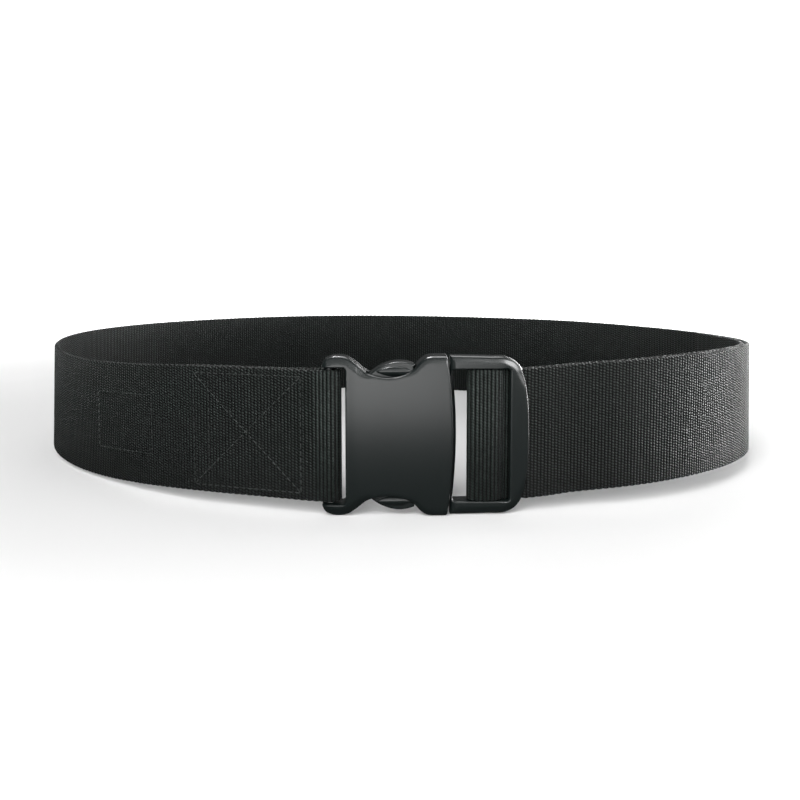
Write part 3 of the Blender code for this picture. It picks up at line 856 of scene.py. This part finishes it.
def surface_net(field, low, high, step):
    """Points and quads of the surface where the field is zero, with the points moved onto it."""
    axes = [np.arange(a, b + step, step) for a, b in zip(low, high)]
    values = field(*np.meshgrid(*axes, indexing="ij"))
    below = values < 0
    shape = np.array(values.shape) - 1
    total, crossings = np.zeros((*shape, 3)), np.zeros(shape)
    for axis in range(3):
        others = [k for k in range(3) if k != axis]
        for first in (0, 1):
            for second in (0, 1):
                cut = [slice(None)] * 3
                cut[others[0]] = slice(first, shape[others[0]] + first)
                cut[others[1]] = slice(second, shape[others[1]] + second)
                near, far = list(cut), list(cut)
                near[axis], far[axis] = slice(0, -1), slice(1, None)
                a, b = values[tuple(near)], values[tuple(far)]
                crossed = (a < 0) != (b < 0)
                share = np.where(crossed, a / np.where(crossed, a - b, 1.0), 0.0)
                total[..., axis] += share
                total[..., others[0]] += first * crossed
                total[..., others[1]] += second * crossed
                crossings += crossed
    active = crossings > 0
    cell = np.argwhere(active)
    number = np.full(active.shape, -1)
    number[active] = np.arange(len(cell))
    points = np.array(low) + step * (cell + total[active] / crossings[active][:, None])
    quads = []
    for axis in range(3):
        u, v = [k for k in (0, 1, 2) if k != axis]
        near, far = [slice(1, -1)] * 3, [slice(1, -1)] * 3
        near[axis], far[axis] = slice(0, -1), slice(1, None)
        a, b = below[tuple(near)], below[tuple(far)]
        for going, sign in ((a & ~b, 1), (~a & b, -1)):
            where = np.argwhere(going)
            spot = where.copy()
            spot[:, u] += 1
            spot[:, v] += 1
            corners = []
            for du, dv in ((-1, -1), (0, -1), (0, 0), (-1, 0)):
                shifted = spot.copy()
                shifted[:, u] += du
                shifted[:, v] += dv
                corners.append(number[tuple(shifted.T)])
            quad = np.stack(corners, axis=1)
            turn = sign * (-1 if axis == 1 else 1)
            quads.append(quad if turn > 0 else quad[:, ::-1])
    quads = np.concatenate(quads)
    for _ in range(RELAX_ROUNDS):
        points = on_surface(field, relaxed(points, quads), 1)[0]
    points, normals = on_surface(field, points)
    return points, quads, normals


def relaxed(points, quads):
    """Each point moved halfway to the middle of its neighbours, which evens out the quads."""
    total, count = np.zeros_like(points), np.zeros(len(points))
    for first, second in ((0, 1), (1, 2), (2, 3), (3, 0)):
        for start, end in ((first, second), (second, first)):
            for axis in range(3):
                total[:, axis] += np.bincount(quads[:, start], points[quads[:, end], axis], len(points))
            count += np.bincount(quads[:, start], minlength=len(points))
    return points + 0.5 * (total / count[:, None] - points)


def on_surface(field, points, rounds=3, reach=0.02):
    """The points moved onto the surface, and the surface's normals there."""
    for _ in range(rounds):
        slope = np.stack(
            [
                (field(*(points + reach * axis).T) - field(*(points - reach * axis).T)) / (2 * reach)
                for axis in np.eye(3)
            ],
            axis=1,
        )
        size = np.maximum(np.linalg.norm(slope, axis=1), 0.2)
        points = points - slope * (np.clip(field(*points.T), -0.2, 0.2) / size**2)[:, None]
    return points, slope / np.linalg.norm(slope, axis=1)[:, None]


def buckle_to_row(points, turn_only=False):
    """From the buckle's frame, in mm, to the row frame in metres. Normals are only turned."""
    cosine, sine = math.cos(BUCKLE_YAW), math.sin(BUCKLE_YAW)
    x, y, z = points.T
    turned = np.stack([x * cosine - y * sine, x * sine + y * cosine, z], axis=1)
    if turn_only:
        return turned
    return turned * MM + np.array([0.0, BUCKLE_Y, BUCKLE_HALF_HEIGHT]) + BELT_OFFSET


def make_moulding(name, field, reach, step, material):
    points, quads, normals = surface_net(field, *reach, step)
    return new_mesh(name, buckle_to_row(points), quads, material, buckle_to_row(normals, True))


# Stage, lights and camera


def make_stage(material):
    """A round floor that curves up into a wall on every side."""
    turn = np.radians(np.linspace(0, 90, 13))
    flat, curve = STAGE_RADIUS - STAGE_CURVE, STAGE_CURVE
    line = [(radius, 0.0) for radius in (*STAGE_RINGS, flat)]
    line += [(flat + curve * math.sin(a), curve - curve * math.cos(a)) for a in turn[1:]]
    line += [(STAGE_RADIUS, STAGE_HEIGHT)]
    around = np.linspace(0, 2 * math.pi, STAGE_SIDES, endpoint=False)
    rings = [[(r * math.cos(a), r * math.sin(a), z - STAGE_DROP) for a in around] for r, z in line]
    points = np.array([point for ring in rings for point in ring])
    faces = grid_faces(len(line), STAGE_SIDES)[:, ::-1].tolist()
    faces.append(list(range(STAGE_SIDES)))
    stage = new_mesh("studio_floor", points, faces, material)
    stage.visible_diffuse = False
    stage.visible_glossy = False
    stage.visible_shadow = False
    return stage


def area_light(name, place, aim, size, radiance, gives):
    """A rectangular light of even radiance that faces its aim."""
    data = bpy.data.lights.new(name, "AREA")
    data.shape = "RECTANGLE"
    data.size, data.size_y = size
    data.energy = radiance * math.pi * size[0] * size[1]
    lamp = bpy.data.objects.new(name, data)
    lamp.location = place
    lamp.rotation_euler = (Vector(aim) - Vector(place)).to_track_quat("-Z", "Y").to_euler()
    lamp.visible_diffuse = gives != GLOSS
    lamp.visible_glossy = gives != EVEN
    SCENE.collection.objects.link(lamp)


def make_camera():
    data = bpy.data.cameras.new("photo_camera")
    data.sensor_width = CAMERA_SENSOR
    data.lens = CAMERA_LENS
    data.shift_y = CAMERA_SHIFT_Y
    data.clip_start = 0.01
    camera = bpy.data.objects.new("photo_camera", data)
    camera.location = np.array(CAMERA_PLACE) + np.array([BELT_OFFSET[0], BELT_OFFSET[1], 0.0])
    camera.rotation_euler = (math.pi / 2 - CAMERA_PITCH, 0.0, 0.0)
    SCENE.collection.objects.link(camera)
    SCENE.camera = camera


def set_world(level):
    world = bpy.data.worlds.new("studio_air")
    world.use_nodes = True
    world.node_tree.nodes["Background"].inputs["Color"].default_value = (1.0, 1.0, 1.0, 1.0)
    world.node_tree.nodes["Background"].inputs["Strength"].default_value = level
    SCENE.world = world


def light_the_scene():
    front = np.array([0.0, BELT_OFFSET[1], 0.0])
    for name, place, aim, *rest in LIGHTS:
        area_light(name, front + place, front + aim, *rest)
    set_world(WORLD_LIGHT)


def main():
    SCENE.view_settings.view_transform = "Standard"
    make_camera()
    strip = Strip()
    web = make_web(strip, web_material())
    stitches = make_stitches(strip, thread_material())
    socket_plastic = plastic_material("socket_plastic", 0.0)
    plug_plastic = plastic_material("plug_plastic", 7.0)
    socket = make_moulding("socket", socket_field, SOCKET_REACH, SOCKET_GRID, socket_plastic)
    plug = make_moulding("plug", plug_field, PLUG_REACH, PLUG_GRID, plug_plastic)
    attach(web, "root")
    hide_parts("web_strap")
    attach(stitches, "root")
    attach(socket, "root")
    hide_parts("buckle_socket")
    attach(plug, "root")
    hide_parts("buckle_plug")
    make_stage(stage_material())
    light_the_scene()


main()
